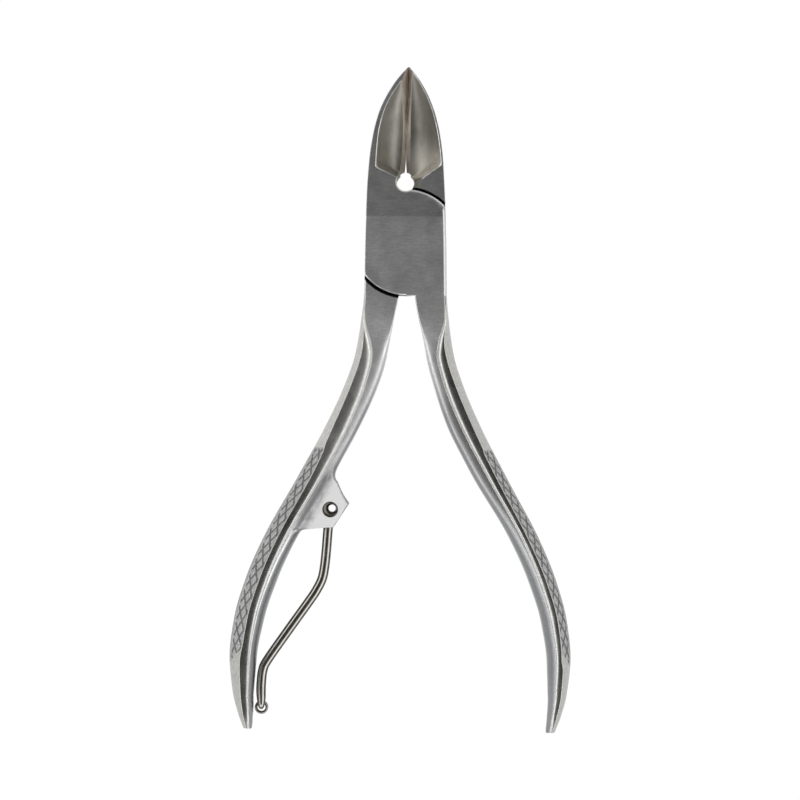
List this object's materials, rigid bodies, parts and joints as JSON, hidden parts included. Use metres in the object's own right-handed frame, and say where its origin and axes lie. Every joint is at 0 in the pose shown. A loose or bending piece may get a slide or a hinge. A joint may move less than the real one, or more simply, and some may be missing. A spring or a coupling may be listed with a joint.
{
  "type": "nail clipper",
  "caption": "Plier-type nail clipper: lap-jointed steel levers with hollow-ground pointed jaws, bowed textured handles, and a swing-out wire spring with a roller.",
  "frame": {"origin": "where the pivot axis meets the underside, at the middle of the rivet's flush head", "axes": "+Y from the pivot towards the jaw tip, +Z out of the front face, along the pivot axis"},
  "size_m": [0.0668, 0.1298, 0.008],
  "materials": {
    "satin_steel": "satin, with bright arrises",
    "polished_steel": "polished"
  },
  "bodies": {
    "back_half": {"back_lever": "satin_steel", "spring_rivet": "polished_steel"},
    "front_half": {"front_lever": "satin_steel", "pivot_rivet": "satin_steel"},
    "spring": {"wire_spring": "polished_steel"},
    "roller": {"spring_roller": "polished_steel"}
  },
  "joints": [
    {"name": "jaw_pivot", "type": "hinge", "parent": "back_half", "child": "front_half", "pos_m": [0, 0, 0], "axis": [0, 0, 1], "range_deg": [0, 40]},
    {"name": "spring_swing", "type": "hinge", "parent": "back_half", "child": "spring", "pos_m": [-0.01407, -0.05231, 0], "axis": [0, 0, 1], "range_deg": [0, 84]},
    {"name": "roller_spin", "type": "hinge", "parent": "spring", "child": "roller", "pos_m": [-0.02706, -0.09143, 0], "axis": [0, 0, 1], "continuous": true}
  ]
}
